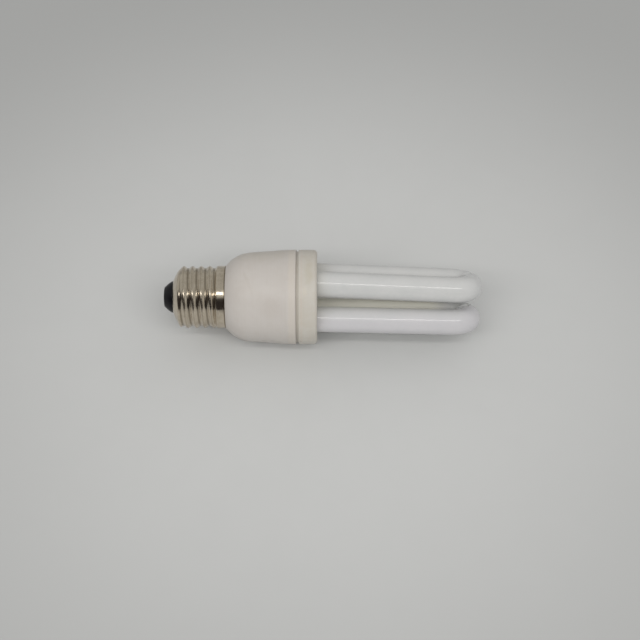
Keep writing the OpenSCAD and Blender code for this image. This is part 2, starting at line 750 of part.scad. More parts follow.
// An axial part that stands on end, its upper lead bent back to the board
module upright_part(d, long) {
    half = upright_span / 2;
    top = board_z - 0.4;
    peak = top - long - 1;
    translate([-half, 0, top - long]) cylinder(d = d, h = long, $fn = 32);
    bar([-half, 0, top - 0.3], [-half, 0, board_top_z + lead_out], lead_r);
    wire([[-half, 0, top - long + 0.3], [-half, 0, peak], [half, 0, peak],
          [half, 0, board_top_z + lead_out]], lead_r);
}

// An axial part that lies along the board on two bent leads
module lying_part(d, long, span, turn = 0) {
    z = board_z - d / 2 - 0.3;
    rotate([0, 0, turn]) {
        bar([-long / 2, 0, z], [long / 2, 0, z], d / 2, 32);
        for (s = [-1, 1])
            wire([[s * (long / 2 - 0.3), 0, z], [s * span / 2, 0, z],
                  [s * span / 2, 0, board_top_z + lead_out]], lead_r);
    }
}

// Four rectifier diodes on end
module rectifier_diodes() {
    color("#2b2b2e") lie() on_board()
        for (at = rectifier_at) translate([at.x, at.y, 0]) upright_part(diode_d - 0.4, diode_len);
}

// Two clamp diodes that lie on the board
module clamp_diodes() {
    color("#2f2f33") lie() on_board()
        for (at = clamp_at) translate([at.x, at.y, 0])
            lying_part(diode_d, diode_len, axial_span, -sign(at.y) * clamp_turn);
}

// Glass trigger part on end
module trigger_diac() {
    color("#2f5f8f") lie() on_board()
        translate([diac_at.x, diac_at.y, 0]) upright_part(diac_d, diac_len);
}

// Four resistors on end
module resistors() {
    color("#c8a878") lie() on_board()
        for (at = resistor_at) translate([at.x, at.y, 0]) upright_part(resistor_d, resistor_len);
}

// A film capacitor with a rounded body and two leads
module film_capacitor(size, span) {
    low = board_z - 0.8 - size.z;
    translate([0, 0, low]) soft_block(size, min(size.x, size.y) * 0.42);
    for (s = [-1, 1])
        bar([s * span / 2, 0, board_z - 1.2], [s * span / 2, 0, board_top_z + lead_out], lead_r);
}

// Capacitor across the discharge tube
module resonant_capacitor() {
    color("#7c2f23") lie() on_board()
        translate([resonant_at.x, resonant_at.y, 0]) film_capacitor(resonant_size, resonant_span);
}

// Capacitor in series with the choke
module coupling_capacitor() {
    color("#2f6a3c") lie() on_board()
        translate([coupling_at.x, coupling_at.y, 0]) film_capacitor(coupling_size, coupling_span);
}

// Small capacitor of the starting circuit
module start_capacitor() {
    color("#3c7a48") lie() on_board()
        translate([start_at.x, start_at.y, 0]) film_capacitor(start_size, start_span);
}

// Fuse resistor in the live lead, beside the filter capacitor
module fuse_resistor() {
    color("#8a9a8e") lie() on_board() {
        translate([fuse_at.x, fuse_at.y, fuse_z]) cylinder(d = fuse_d, h = fuse_len, $fn = 32);
        bar([fuse_at.x, fuse_at.y, fuse_z + fuse_len - 0.5],
            [fuse_at.x, fuse_at.y, board_top_z + lead_out], lead_r);
    }
}

// Sleeve over the fuse resistor
module fuse_sleeve() {
    in_r = fuse_d / 2 + play;
    color("#e6e2d2") lie() on_board() translate([fuse_at.x, fuse_at.y, fuse_z - sleeve_over])
        difference() {
            cylinder(r = in_r + sleeve_t, h = fuse_len + 2 * sleeve_over, $fn = 48);
            translate([0, 0, -1]) cylinder(r = in_r, h = fuse_len + 2 * sleeve_over + 2, $fn = 48);
        }
}

// Lead from the centre contact to the fuse resistor
module live_lead() {
    top = lip_z + insulator_root_len + lead_rise;
    color("#b5b0a0") lie() on_board()
        wire([[0, 0, contact_z + 0.02], [0, 0, top], [fuse_at.x, fuse_at.y, top],
              [fuse_at.x, fuse_at.y, fuse_z - play]], wire_r);
}

// Lead from the board, folded over the neck's edge against the shell
module neutral_lead() {
    low = neck_z - wire_r - 0.1;
    color("#b5b0a0") lie() on_board() rotate([0, 0, neutral_turn])
        wire([[neutral_in_r, 0, board_top_z + lead_out], [neutral_in_r, 0, low],
              [neutral_out_r, 0, low], [neutral_out_r, 0, neck_z + neck_len / 3]], wire_r);
}

insulator();
centre_contact();
contact_solder();
screw_shell();
housing();
tube_cover();
discharge_tube();
cement_rings();
tube_leads();
wrap_pins();
circuit_board();
solder_joints();
filter_capacitor();
choke_core();
choke_bobbin();
choke_winding();
feedback_ring();
feedback_windings();
transistors();
rectifier_diodes();
clamp_diodes();
trigger_diac();
resonant_capacitor();
coupling_capacitor();
start_capacitor();
resistors();
fuse_resistor();
fuse_sleeve();
live_lead();
neutral_lead();
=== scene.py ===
"""A compact fluorescent bulb with a screw cap, lying on its side in a pale studio."""

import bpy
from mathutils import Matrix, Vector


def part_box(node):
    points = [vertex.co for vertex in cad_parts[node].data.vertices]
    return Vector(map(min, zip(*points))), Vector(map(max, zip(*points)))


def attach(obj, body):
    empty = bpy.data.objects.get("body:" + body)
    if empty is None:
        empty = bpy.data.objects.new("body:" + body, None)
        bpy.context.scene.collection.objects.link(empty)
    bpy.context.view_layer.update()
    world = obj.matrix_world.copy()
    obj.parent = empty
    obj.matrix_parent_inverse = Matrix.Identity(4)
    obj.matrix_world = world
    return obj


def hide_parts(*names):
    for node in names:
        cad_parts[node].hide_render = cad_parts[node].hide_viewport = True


bl_info = {
    "name": "Compact fluorescent bulb",
    "version": (1, 0, 0),
    "blender": (4, 5, 0),
    "location": "View3D > Sidebar > Bulb",
    "description": "Makes the rolled screw shell, gives every part its finish and sets the studio",
    "category": "Object",
}

import math

import bpy
from bpy.props import FloatProperty, FloatVectorProperty, IntProperty, PointerProperty
from bpy.types import Operator, Panel, PropertyGroup
from mathutils import Vector

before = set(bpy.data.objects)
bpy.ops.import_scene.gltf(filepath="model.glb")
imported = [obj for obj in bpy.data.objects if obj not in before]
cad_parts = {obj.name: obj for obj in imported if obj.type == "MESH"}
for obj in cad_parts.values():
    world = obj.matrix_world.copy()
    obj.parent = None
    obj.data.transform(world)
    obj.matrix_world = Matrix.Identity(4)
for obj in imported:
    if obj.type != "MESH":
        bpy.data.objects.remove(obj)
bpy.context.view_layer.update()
MM = 0.001
SHELL_LOW, SHELL_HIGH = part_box("screw_shell")
BODY_LOW, BODY_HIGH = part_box("housing")
CONTACT_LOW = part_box("contact_solder")[0]
TIP_X = CONTACT_LOW[0]                              # far face of the cap
AXIS_Z = (SHELL_LOW[2] + SHELL_HIGH[2]) / 2         # height of the bulb's axis
SHELL_START = (SHELL_LOW[0] - TIP_X) / MM           # lip of the shell, in mm from the tip
SHELL_END = (SHELL_HIGH[0] - TIP_X) / MM            # end of the plain rim
RIM_RADIUS = (SHELL_HIGH[1] - SHELL_LOW[1]) / 2     # radius of the plain rim


def shown(red, green, blue):
    """A colour as a screen shows it, from 0 to 255, turned into light values."""
    def light(part):
        part /= 255
        return part / 12.92 if part <= 0.04045 else ((part + 0.055) / 1.055) ** 2.4
    return (light(red), light(green), light(blue), 1.0)


# Sizes and colours

def length(name, text, value):
    return FloatProperty(name=name, description=text, default=value, unit="LENGTH", precision=5)


def colour(name, text, value):
    return FloatVectorProperty(name=name, description=text, default=value, size=4,
                               subtype="COLOR", min=0.0, max=1.0)


class BulbSizes(PropertyGroup):
    """Sizes of the rolled screw shell."""
    thread_pitch: length("Thread pitch", "Distance from crest to crest", 3.63 * MM)
    thread_depth: length("Thread depth", "Depth from crest to root", 0.9 * MM)
    root_radius: length("Root radius", "Radius in the roots of the thread", 12.15 * MM)
    lip_radius: length("Lip radius", "Radius of the lip round the insulator", 7.05 * MM)
    sheet: length("Sheet", "Thickness of the sheet metal", 0.3 * MM)
    foot: length("Foot", "Length of the round foot below the thread", 3.5 * MM)
    rim: length("Rim", "Length of the plain rim", 3.6 * MM)
    first_crest: length("First crest", "Distance from the tip to the first crest", 8.6 * MM)
    crest_turn: FloatProperty(name="Crest turn", description="Turn at which the first crest is measured",
                              default=math.radians(40), subtype="ANGLE")
    facets: IntProperty(name="Facets", description="Facets round the shell", default=256, min=48, max=320)


class BulbColours(PropertyGroup):
    """Colours of the outer parts and of the studio."""
    housing: colour("Housing", "Off-white plastic of the housing", shown(198, 193, 188))
    cover: colour("Cover", "Off-white plastic of the tube cover", shown(199, 195, 187))
    glass: colour("Tube", "White coating seen through the glass", shown(203, 203, 202))
    metal: colour("Plated metal", "Plated sheet of the screw shell", shown(214, 203, 186))
    # This brown also paints the shadow line at the end of the rim, besides the tarnish in the roots.
    tarnish_and_shade: colour("Tarnish", "Brown tone in the roots of the thread", shown(98, 84, 62))
    black: colour("Insulator", "Black glass of the insulator", shown(13, 12, 16))
    floor: colour("Floor", "Pale floor of the studio", shown(202, 203, 202))


# Short calls for node trees

def put(tree, kind, sockets=None, **settings):
    """Adds a shader node, with its settings, its values and its links."""
    made = tree.nodes.new("ShaderNode" + kind)
    for key, value in settings.items():
        setattr(made, key, value)
    for key, value in (sockets or {}).items():
        if isinstance(value, bpy.types.NodeSocket):
            tree.links.new(value, made.inputs[key])
        else:
            made.inputs[key].default_value = value
    return made


def sums(tree, operation, a, b=0.0, clamp=False):
    return put(tree, "Math", {0: a, 1: b}, operation=operation, use_clamp=clamp).outputs[0]


def blend(tree, factor, a, b):
    """Mixes two colours."""
    return put(tree, "Mix", {0: factor, 6: a, 7: b}, data_type="RGBA").outputs[2]


def span(tree, value, low, high, out_low=0.0, out_high=1.0):
    """Spreads a value smoothly over a new range."""
    return put(tree, "MapRange", {0: value, 1: low, 2: high, 3: out_low, 4: out_high},
               interpolation_type="SMOOTHSTEP").outputs[0]


def between(tree, value, low, high, soft):
    """1 where the value lies between low and high, with soft ends."""
    up = span(tree, value, low - soft, low + soft)
    down = span(tree, value, high - soft, high + soft, 1.0, 0.0)
    return sums(tree, "MULTIPLY", up, down)


def new_group(name, inputs, outputs):
    """An empty shader node group with named sockets."""
    tree = bpy.data.node_groups.new(name, "ShaderNodeTree")
    for label, kind, value in inputs:
        socket = tree.interface.new_socket(name=label, in_out="INPUT", socket_type="NodeSocket" + kind)
        socket.default_value = value
    for label, kind in outputs:
        tree.interface.new_socket(name=label, in_out="OUTPUT", socket_type="NodeSocket" + kind)
    return tree, tree.nodes.new("NodeGroupInput"), tree.nodes.new("NodeGroupOutput")


def noise(tree, size, detail=3.0, rough=0.5, vector=None, seed=0.0):
    """Cloud pattern whose patches are about size millimetres."""
    if vector is None:
        vector = put(tree, "TexCoord").outputs["Object"]
    scale = sums(tree, "DIVIDE", 1000.0, size) if isinstance(size, bpy.types.NodeSocket) else 1000.0 / size
    made = put(tree, "TexNoise", {"Vector": vector, "Scale": scale, "Detail": detail,
                                  "Roughness": rough, "W": seed}, noise_dimensions="4D")
    return made.outputs["Fac"]


# Effects that several finishes share

def build_places():
    """Distance from the tip in mm, turn about the axis in degrees, and radius in mm."""
    tree, _, out = new_group("Bulb places", [], [("Along", "Float"), ("Turn", "Float"), ("Radius", "Float")])
    xyz = put(tree, "SeparateXYZ", {0: put(tree, "TexCoord").outputs["Object"]})
    along = sums(tree, "MULTIPLY", sums(tree, "SUBTRACT", xyz.outputs[0], TIP_X), 1000.0)
    side = sums(tree, "MULTIPLY", xyz.outputs[1], 1000.0)
    rise = sums(tree, "MULTIPLY", sums(tree, "SUBTRACT", xyz.outputs[2], AXIS_Z), 1000.0)
    turn = sums(tree, "MULTIPLY", sums(tree, "ARCTAN2", rise, side), 180 / math.pi)
    turn = sums(tree, "MODULO", sums(tree, "ADD", turn, 360.0), 360.0)
    square = sums(tree, "ADD", sums(tree, "MULTIPLY", side, side), sums(tree, "MULTIPLY", rise, rise))
    for name, value in (("Along", along), ("Turn", turn), ("Radius", sums(tree, "SQRT", square))):
        tree.links.new(value, out.inputs[name])


def build_mottle():
    """Cloudy change from one colour to another."""
    tree, given, out = new_group(
        "Bulb mottle",
        [("Base", "Color", (0.8, 0.8, 0.8, 1)), ("Stain", "Color", (0.5, 0.5, 0.5, 1)),
         ("Patch size", "Float", 6.0), ("Amount", "Float", 0.4), ("Seed", "Float", 0.0)],
        [("Colour", "Color"), ("Mask", "Float")])
    wide = noise(tree, given.outputs["Patch size"], 4.0, 0.6, seed=given.outputs["Seed"])
    fine_size = sums(tree, "MULTIPLY", given.outputs["Patch size"], 0.14)
    fine = noise(tree, fine_size, 2.0, 0.5, seed=given.outputs["Seed"])
    both = sums(tree, "ADD", sums(tree, "MULTIPLY", wide, 0.72), sums(tree, "MULTIPLY", fine, 0.28))
    mask = sums(tree, "MULTIPLY", span(tree, both, 0.38, 0.66), given.outputs["Amount"])
    tree.links.new(blend(tree, mask, given.outputs["Base"], given.outputs["Stain"]), out.inputs["Colour"])
    tree.links.new(mask, out.inputs["Mask"])


def build_grain():
    """Height of a fine grain over slow waves."""
    tree, given, out = new_group(
        "Bulb grain", [("Grain size", "Float", 0.4), ("Wave size", "Float", 9.0), ("Wave share", "Float", 0.5)],
        [("Height", "Float")])
    fine = noise(tree, given.outputs["Grain size"], 2.0, 0.6)
    wave = noise(tree, given.outputs["Wave size"], 1.0, 0.4)
    keep = sums(tree, "SUBTRACT", 1.0, given.outputs["Wave share"])
    height = sums(tree, "ADD", sums(tree, "MULTIPLY", fine, keep),
                  sums(tree, "MULTIPLY", wave, given.outputs["Wave share"]))
    tree.links.new(height, out.inputs["Height"])


def build_dust():
    """Fine dust on what faces up, and specks all over."""
    tree, given, out = new_group(
        "Bulb dust", [("Amount", "Float", 0.2), ("Speck size", "Float", 1.2)], [("Mask", "Float")])
    normal = put(tree, "SeparateXYZ", {0: put(tree, "NewGeometry").outputs["Normal"]}).outputs[2]
    film = sums(tree, "MULTIPLY", span(tree, normal, 0.1, 0.95), noise(tree, 3.5, 5.0, 0.7, seed=4.0))
    cells = put(tree, "TexVoronoi", {"Vector": put(tree, "TexCoord").outputs["Object"],
                                     "Scale": sums(tree, "DIVIDE", 1000.0, given.outputs["Speck size"])})
    spot = span(tree, cells.outputs["Distance"], 0.05, 0.11, 1.0, 0.0)
    few = span(tree, put(tree, "SeparateColor", {0: cells.outputs["Color"]}).outputs[0], 0.86, 0.88)
    mask = sums(tree, "ADD", film, sums(tree, "MULTIPLY", spot, few))
    tree.links.new(sums(tree, "MULTIPLY", mask, given.outputs["Amount"], True), out.inputs["Mask"])


def build_rings():
    """Fine lines round the axis, as a tool or a mould leaves them."""
    tree, given, out = new_group(
        "Bulb rings", [("Line width", "Float", 0.12), ("Length", "Float", 30.0)], [("Mask", "Float")])
    places = put(tree, "Group", node_tree=bpy.data.node_groups["Bulb places"])
    x = sums(tree, "DIVIDE", places.outputs["Along"], given.outputs["Line width"])
    y = sums(tree, "DIVIDE", places.outputs["Turn"], given.outputs["Length"])
    vector = put(tree, "CombineXYZ", {0: x, 1: y, 2: 0.0}).outputs[0]
    made = put(tree, "TexNoise", {"Vector": vector, "Scale": 1.0, "Detail": 3.0})
    tree.links.new(made.outputs["Fac"], out.inputs["Mask"])


def build_patch():
    """A soft ragged patch at a place along and about the axis."""
    tree, given, out = new_group(
        "Bulb patch",
        [("At", "Float", 30.0), ("Turn", "Float", 120.0), ("Half length", "Float", 3.0),
         ("Half turn", "Float", 10.0), ("Slant", "Float", 0.0), ("Ragged", "Float", 0.4)],
        [("Mask", "Float")])
    places = put(tree, "Group", node_tree=bpy.data.node_groups["Bulb places"])
    about = sums(tree, "SUBTRACT", places.outputs["Turn"], given.outputs["Turn"])
    along = sums(tree, "SUBTRACT", places.outputs["Along"], given.outputs["At"])
    along = sums(tree, "SUBTRACT", along, sums(tree, "MULTIPLY", about, given.outputs["Slant"]))
    x = sums(tree, "DIVIDE", along, given.outputs["Half length"])
    y = sums(tree, "DIVIDE", about, given.outputs["Half turn"])
    far = sums(tree, "SQRT", sums(tree, "ADD", sums(tree, "MULTIPLY", x, x), sums(tree, "MULTIPLY", y, y)))
    rough = sums(tree, "MULTIPLY", sums(tree, "SUBTRACT", noise(tree, 2.2, 3.0), 0.5), given.outputs["Ragged"])
    tree.links.new(span(tree, sums(tree, "ADD", far, rough), 0.35, 1.1, 1.0, 0.0), out.inputs["Mask"])


def build_effects():
    """Builds each shared effect once."""
    for name, build in (("Bulb places", build_places), ("Bulb mottle", build_mottle),
                        ("Bulb grain", build_grain), ("Bulb dust", build_dust),
                        ("Bulb rings", build_rings), ("Bulb patch", build_patch)):
        if name not in bpy.data.node_groups:
            build()


def effect(tree, name, sockets=None):
    """Places a shared effect in a material."""
    return put(tree, "Group", sockets, node_tree=bpy.data.node_groups["Bulb " + name])


def new_finish(name, **plain):
    """A material with only its shader, and the shader's plain values set."""
    build_effects()
    made = bpy.data.materials.new(name)
    made.use_nodes = True
    tree = made.node_tree
    tree.nodes.clear()
    shader = put(tree, "BsdfPrincipled", {key.replace("_", " "): value for key, value in plain.items()})
    out = put(tree, "OutputMaterial")
    tree.links.new(shader.outputs[0], out.inputs[0])
    return made, tree, shader


def wire_up(tree, shader, **sockets):
    for key, value in sockets.items():
        tree.links.new(value, shader.inputs[key.replace("_", " ")])


def bumps(tree, shader, height, strength, depth=0.1):
    """Raises the surface by a height pattern, depth in mm."""
    made = put(tree, "Bump", {"Strength": strength, "Distance": depth * MM, "Height": height})
    tree.links.new(made.outputs[0], shader.inputs["Normal"])


def mottled(tree, base, stain, size, amount, seed=0.0):
    return effect(tree, "mottle", {"Base": base, "Stain": stain, "Patch size": size,
                                   "Amount": amount, "Seed": seed})


# Finishes of the outer parts

def moulded_plastic(name, base, stain, patches, seed):
    """Satin off-white plastic with yellowed and rubbed places, and painted shade where a patch gives it."""
    made, tree, shader = new_finish(name, IOR=1.49, Specular_IOR_Level=0.45)
    aged = mottled(tree, base, stain, 14.0, 0.35, seed)
    tone = aged.outputs["Colour"]
    for patch_colour, strength, at, turn, half_length, half_turn, slant in patches:
        spot = effect(tree, "patch", {"At": at, "Turn": turn, "Half length": half_length,
                                      "Half turn": half_turn, "Slant": slant})
        tone = blend(tree, sums(tree, "MULTIPLY", spot.outputs[0], strength), tone, patch_colour)
    lines = effect(tree, "rings", {"Line width": 0.35, "Length": 60.0})
    tone = blend(tree, span(tree, lines.outputs[0], 0.45, 0.75, 0.0, 0.10), tone, shown(176, 166, 150))
    dust = effect(tree, "dust", {"Amount": 0.12, "Speck size": 1.6})
    tone = blend(tree, dust.outputs[0], tone, shown(150, 142, 130))
    rough = span(tree, noise(tree, 5.0, 3.0, 0.6, seed=seed + 2), 0.3, 0.7, 0.36, 0.52)
    grain = effect(tree, "grain", {"Grain size": 0.35, "Wave size": 8.0, "Wave share": 0.75})
    wire_up(tree, shader, Base_Color=tone, Roughness=rough)
    bumps(tree, shader, grain.outputs[0], 0.35, 0.06)
    return made


def coated_glass(base):
    """Clear glass over a white powder coating, thinner and cooler toward the bends, with painted light on the inner
    faces between the legs and painted shade on the lower side.
    """
    made, tree, shader = new_finish("Coated glass", IOR=1.5)
    places = effect(tree, "places")
    powder = mottled(tree, base, shown(190, 193, 192), 9.0, 0.4, 7.0)
    near_cover = span(tree, places.outputs["Along"], 64.0, 72.0, 0.35, 0.0)
    tone = blend(tree, near_cover, powder.outputs["Colour"], shown(186, 184, 174))
    bend = span(tree, places.outputs["Along"], 121.0, 133.0, 0.0, 0.3)
    tone = blend(tree, bend, tone, shown(205, 207, 208))
    # Painted shade: the lower front side of the tube is tinted darker and lavender.
    painted_low_side_shade = between(tree, places.outputs["Turn"], 168.0, 228.0, 10.0)
    tone = blend(tree, sums(tree, "MULTIPLY", painted_low_side_shade, 0.5), tone, shown(199, 196, 202))
    # Painted light: the inner faces of the legs, deep in the gaps between them, are made lighter and warmer.
    inner = span(tree, places.outputs["Radius"], 6.5, 9.5, 0.85, 0.0)
    inner = sums(tree, "MULTIPLY", inner, span(tree, places.outputs["Along"], 112.0, 121.0, 1.0, 0.0))
    tone = blend(tree, inner, tone, shown(228, 226, 215))
    dust = effect(tree, "dust", {"Amount": 0.05, "Speck size": 1.4})
    tone = blend(tree, dust.outputs[0], tone, shown(160, 156, 150))
    rough = span(tree, noise(tree, 4.0, 3.0, 0.6, seed=3.0), 0.3, 0.7, 0.04, 0.09)
    grain = effect(tree, "grain", {"Grain size": 0.6, "Wave size": 7.0, "Wave share": 0.85})
    wire_up(tree, shader, Base_Color=tone, Roughness=rough)
    bumps(tree, shader, grain.outputs[0], 0.12, 0.03)
    return made


def plated_sheet(metal, tarnish_and_shade, root, crest):
    """Plated sheet metal, bright on the crests and brown in the roots, with a painted shadow line where the rim
    meets the housing.
    """
    made, tree, shader = new_finish("Plated shell", Metallic=1.0)
    places = effect(tree, "places")
    stained = mottled(tree, metal, shown(176, 164, 146), 3.0, 0.55, 1.0)
    deep = span(tree, places.outputs["Radius"], root - 0.02, root + 0.2 * (crest - root), 0.6, 0.0)
    worn = span(tree, places.outputs["Radius"], crest - 0.07, crest - 0.02, 0.0, 0.22)
    in_thread = between(tree, places.outputs["Along"], 7.6, SHELL_END - 4.0, 0.3)
    deep = sums(tree, "MULTIPLY", deep, in_thread)
    worn = sums(tree, "MULTIPLY", worn, in_thread)
    # Painted shadow: a dark band in the tarnish colour at the end of the rim, where it meets the housing.
    edge = between(tree, places.outputs["Along"], SHELL_END - 0.45, SHELL_END + 0.5, 0.12)
    dark = sums(tree, "MAXIMUM", deep, sums(tree, "MULTIPLY", edge, 0.75))
    tone = blend(tree, sums(tree, "MAXIMUM", dark, worn), stained.outputs["Colour"], tarnish_and_shade)
    rubs = effect(tree, "rings", {"Line width": 0.09, "Length": 24.0})
    tone = blend(tree, span(tree, rubs.outputs[0], 0.5, 0.8, 0.0, 0.22), tone, shown(140, 126, 104))
    rough = sums(tree, "ADD", span(tree, stained.outputs["Mask"], 0.0, 0.55, 0.13, 0.24),
                 sums(tree, "ADD", sums(tree, "MULTIPLY", dark, 0.08), sums(tree, "MULTIPLY", worn, 0.4)))
    height = sums(tree, "ADD", sums(tree, "MULTIPLY", rubs.outputs[0], 0.3),
                  effect(tree, "grain", {"Grain size": 0.5, "Wave size": 2.4, "Wave share": 0.8}).outputs[0])
    wire_up(tree, shader, Base_Color=tone, Roughness=rough)
    bumps(tree, shader, height, 0.4, 0.05)
    return made


def black_glass(base):
    """Black glass of the cap, a little dull and dusty."""
    made, tree, shader = new_finish("Black glass", IOR=1.52, Specular_IOR_Level=0.2)
    tone = mottled(tree, base, shown(24, 23, 27), 2.2, 0.5, 2.0).outputs["Colour"]
    dust = effect(tree, "dust", {"Amount": 0.03, "Speck size": 0.8})
    tone = blend(tree, dust.outputs[0], tone, shown(90, 88, 86))
    rough = span(tree, noise(tree, 1.6, 4.0, 0.6), 0.3, 0.7, 0.3, 0.5)
    grain = effect(tree, "grain", {"Grain size": 0.25, "Wave size": 2.0, "Wave share": 0.6})
    wire_up(tree, shader, Base_Color=tone, Roughness=rough)
    bumps(tree, shader, grain.outputs[0], 0.4, 0.06)
    return made


# Finishes of the inner parts

def plain_finish(name, base, stain, size, rough, grain, metallic=0.0, strength=0.4, seed=0.0):
    """A mottled finish with a grain, for one kind of material."""
    made, tree, shader = new_finish(name, Metallic=metallic)
    tone = mottled(tree, base, stain, size, 0.8, seed)
    spread = span(tree, tone.outputs["Mask"], 0.0, 0.8, rough[0], rough[1])
    height = effect(tree, "grain", {"Grain size": grain, "Wave size": size, "Wave share": 0.4})
    wire_up(tree, shader, Base_Color=tone.outputs["Colour"], Roughness=spread)
    bumps(tree, shader, height.outputs[0], strength, 0.08)
    return made


def banded_finish(name, base, stain, bands, rough, shine=0.0):
    """A dipped or moulded body with bands across it, placed in mm from the tip."""
    made, tree, shader = new_finish(name, Coat_Weight=shine, Coat_Roughness=0.12)
    tone = mottled(tree, base, stain, 1.5, 0.6, 5.0).outputs["Colour"]
    along = effect(tree, "places").outputs["Along"]
    for low, high, band in bands:
        tone = blend(tree, between(tree, along, low, high, 0.05), tone, band)
    height = effect(tree, "grain", {"Grain size": 0.3, "Wave size": 1.2, "Wave share": 0.5})
    spread = span(tree, noise(tree, 1.0), 0.3, 0.7, rough[0], rough[1])
    wire_up(tree, shader, Base_Color=tone, Roughness=spread)
    bumps(tree, shader, height.outputs[0], 0.3, 0.06)
    return made


def wound_copper(name, pitch, base, dark):
    """Enamelled copper wire, its turns drawn as fine ridges along the axis."""
    made, tree, shader = new_finish(name, Metallic=0.75, Coat_Weight=0.5, Coat_Roughness=0.15)
    along = effect(tree, "places").outputs["Along"]
    swing = sums(tree, "SINE", sums(tree, "MULTIPLY", along, 2 * math.pi / pitch))
    ridge = span(tree, swing, -1.0, 0.6)
    tone = mottled(tree, base, dark, 2.0, 0.5, 6.0).outputs["Colour"]
    # Painted shade: dark brown in the grooves between the turns.
    tone = blend(tree, span(tree, ridge, 0.0, 0.5, 0.8, 0.0), tone, shown(70, 32, 14))
    spread = span(tree, noise(tree, 1.0), 0.3, 0.7, 0.22, 0.4)
    wire_up(tree, shader, Base_Color=tone, Roughness=spread)
    bumps(tree, shader, ridge, 0.6, 0.08)
    return made


def board_finish():
    """Brown paper laminate with dark fibres, and a green lacquer on the soldered face."""
    made, tree, shader = new_finish("Board laminate", Coat_Weight=0.2, Coat_Roughness=0.3)
    places = effect(tree, "places")
    coords = put(tree, "TexCoord").outputs["Object"]
    long_way = put(tree, "Mapping", {0: coords, 3: (1.0, 0.08, 1.0)}).outputs[0]
    fibre = noise(tree, 0.3, 3.0, 0.6, long_way)
    tone = mottled(tree, shown(176, 128, 70), shown(150, 100, 50), 4.0, 0.7, 8.0).outputs["Colour"]
    tone = blend(tree, span(tree, fibre, 0.5, 0.75, 0.0, 0.5), tone, shown(110, 74, 38))
    high = (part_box("circuit_board")[1][0] - TIP_X) / MM
    lacquer = span(tree, places.outputs["Along"], high - 0.12, high - 0.06)
    tone = blend(tree, sums(tree, "MULTIPLY", lacquer, 0.8), tone, shown(54, 92, 52))
    spread = span(tree, noise(tree, 2.0), 0.3, 0.7, 0.35, 0.55)
    wire_up(tree, shader, Base_Color=tone, Roughness=spread)
    bumps(tree, shader, fibre, 0.3, 0.05)
    return made


def capacitor_finish():
    """Shrunk plastic sleeve with one pale stripe, bare metal at both ends."""
    made, tree, shader = new_finish("Capacitor sleeve", Coat_Weight=0.4, Coat_Roughness=0.2)
    low, high = ((v[0] - TIP_X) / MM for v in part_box("filter_capacitor"))
    places = effect(tree, "places")
    tone = mottled(tree, shown(34, 40, 58), shown(24, 28, 42), 3.0, 0.7, 9.0).outputs["Colour"]
    stripe = between(tree, places.outputs["Turn"], 210.0, 246.0, 1.0)
    tone = blend(tree, sums(tree, "MULTIPLY", stripe, 0.85), tone, shown(150, 154, 164))
    ends = sums(tree, "SUBTRACT", 1.0, between(tree, places.outputs["Along"], low + 0.2, low + 15.6, 0.06))
    tone = blend(tree, ends, tone, shown(186, 188, 190))
    height = effect(tree, "grain", {"Grain size": 0.5, "Wave size": 4.0, "Wave share": 0.7})
    spread = span(tree, noise(tree, 2.0), 0.3, 0.7, 0.28, 0.45)
    wire_up(tree, shader, Base_Color=tone, Roughness=spread, Metallic=ends)
    bumps(tree, shader, height.outputs[0], 0.3, 0.06)
    return made


def braided_sleeve():
    """Sleeve of braided glass fibre."""
    made, tree, shader = new_finish("Sleeve braid")
    places = effect(tree, "places")
    one = sums(tree, "SINE", sums(tree, "ADD", sums(tree, "MULTIPLY", places.outputs["Along"], 7.0),
                                  sums(tree, "MULTIPLY", places.outputs["Turn"], 0.9)))
    two = sums(tree, "SINE", sums(tree, "SUBTRACT", sums(tree, "MULTIPLY", places.outputs["Along"], 7.0),
                                  sums(tree, "MULTIPLY", places.outputs["Turn"], 0.9)))
    braid = sums(tree, "MAXIMUM", one, two)
    tone = mottled(tree, shown(226, 220, 200), shown(196, 186, 158), 2.5, 0.6, 3.0).outputs["Colour"]
    # Painted shade: darker in the gaps between the strands of the braid.
    tone = blend(tree, span(tree, braid, 0.0, 0.6, 0.5, 0.0), tone, shown(160, 148, 118))
    spread = span(tree, noise(tree, 1.5), 0.3, 0.7, 0.7, 0.9)
    wire_up(tree, shader, Base_Color=tone, Roughness=spread)
    bumps(tree, shader, braid, 0.7, 0.08)
    return made


def dress(names, material):
    """Gives CAD nodes a finish."""
    for name in names:
        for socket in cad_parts[name].material_slots:
            socket.material = material


# The rolled screw shell

def shell_form(sizes):
    """Outer radius in mm at a distance from the tip and a turn about the axis."""
    root = sizes.root_radius / MM
    lip = sizes.lip_radius / MM
    depth = sizes.thread_depth / MM
    pitch = sizes.thread_pitch / MM
    first = sizes.first_crest / MM
    foot_end = SHELL_START + sizes.foot / MM
    rim_start = SHELL_END - sizes.rim / MM
    rim = RIM_RADIUS / MM

    def smooth(value, low, high):
        part = min(1.0, max(0.0, (value - low) / (high - low)))
        return part * part * (3 - 2 * part)

    def radius(along, turn):
        if along < foot_end:
            part = (along - SHELL_START) / (foot_end - SHELL_START)
            ground = lip + (root - lip) * (1 - (1 - part) ** 1.7)
        else:
            ground = root
        phase = (along - first) / pitch - (turn - sizes.crest_turn) / (2 * math.pi)
        wave = (1 + math.cos(2 * math.pi * phase)) / 2
        wave = wave ** 1.15
        fade = smooth(along, foot_end - 1.9, foot_end - 0.1) * (1 - smooth(along, rim_start - 0.9, rim_start))
        form = ground + depth * wave * fade
        step = smooth(along, rim_start - 0.75, rim_start + 0.05)
        form += (rim - form) * step
        return form

    return radius


